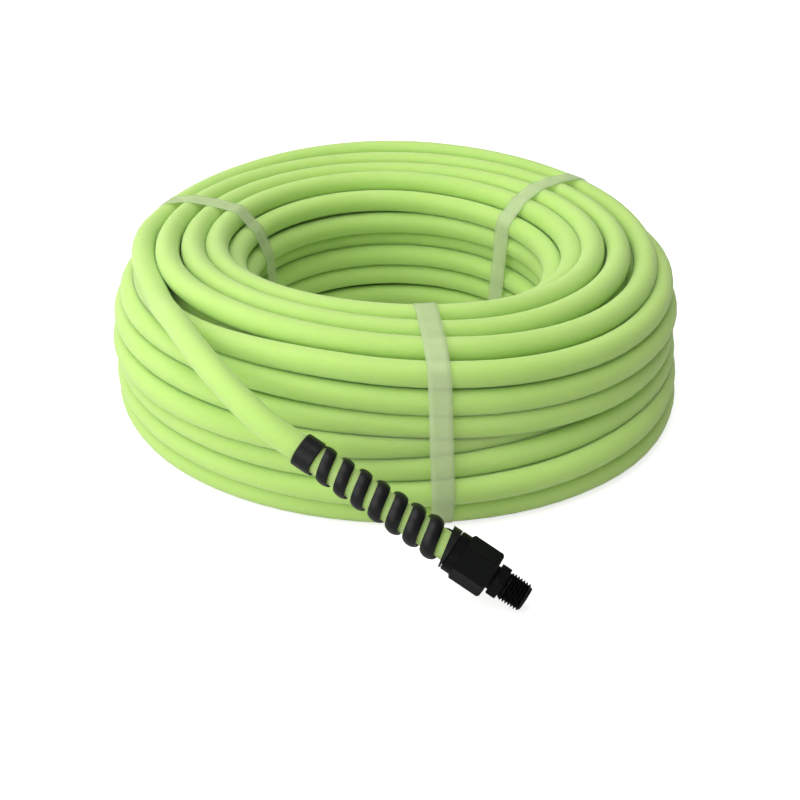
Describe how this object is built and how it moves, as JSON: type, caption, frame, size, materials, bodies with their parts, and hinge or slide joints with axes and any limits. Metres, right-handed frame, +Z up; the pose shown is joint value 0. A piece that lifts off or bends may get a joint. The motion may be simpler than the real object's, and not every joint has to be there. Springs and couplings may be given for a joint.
{
  "type": "coiled air hose",
  "caption": "Light green air hose wound into a low ring with bands round it, and a compression fitting with a bend restrictor on each end.",
  "frame": {"origin": "on the axis of the ring's eye, at the height of the surface that it lies on", "axes": "+Z up along the ring's axis, -Y towards the front, where the front fitting leaves to the right (+X)"},
  "size_m": [0.3169, 0.4362, 0.0884],
  "materials": {
    "hose_cover": "matt light green hose cover, lightly dusted",
    "braid": "white polyester reinforcement",
    "liner": "black liner",
    "tape": "thin frosted film",
    "restrictor": "black moulded plastic",
    "fitting": "black anodised, satin",
    "ferrule": "plain brass"
  },
  "bodies": {
    "hose_and_fittings": {"hose_winding": "hose_cover", "hose_core": "hose_cover", "front_tape": "tape", "right_tape": "tape", "left_tape": "tape", "front_hose_cover": "hose_cover", "front_hose_braid": "braid", "front_hose_liner": "liner", "front_split_ferrule": "ferrule", "front_barb_fitting": "fitting", "rear_hose_cover": "hose_cover", "rear_hose_braid": "braid", "rear_hose_liner": "liner", "rear_split_ferrule": "ferrule", "rear_barb_fitting": "fitting"},
    "front_restrictor": {"front_bend_restrictor": "restrictor"},
    "front_nut": {"front_compression_nut": "fitting"},
    "rear_restrictor": {"rear_bend_restrictor": "restrictor"},
    "rear_nut": {"rear_compression_nut": "fitting"}
  },
  "joints": [
    {"name": "front_nut_travel", "type": "slide", "parent": "hose_and_fittings", "child": "front_restrictor", "axis": [-0.8321, 0.3504, 0.43], "range_m": [0, 0.0075]},
    {"name": "front_nut_turn", "type": "hinge", "parent": "front_restrictor", "child": "front_nut", "pos_m": [0.05412, -0.22302, 0.0068], "axis": [-0.8321, 0.3504, 0.43], "range_deg": [0, 1805]},
    {"name": "rear_nut_travel", "type": "slide", "parent": "hose_and_fittings", "child": "rear_restrictor", "axis": [-0.9301, -0.249, 0.27], "range_m": [0, 0.0075]},
    {"name": "rear_nut_turn", "type": "hinge", "parent": "rear_restrictor", "child": "rear_nut", "pos_m": [0.15872, 0.20162, 0.0072], "axis": [-0.9301, -0.249, 0.27], "range_deg": [0, 1805]}
  ],
  "couplings": [
    {"joint": "front_nut_turn", "follows": "front_nut_travel", "rad_per_m": 4188.8},
    {"joint": "rear_nut_turn", "follows": "rear_nut_travel", "rad_per_m": 4188.8}
  ]
}
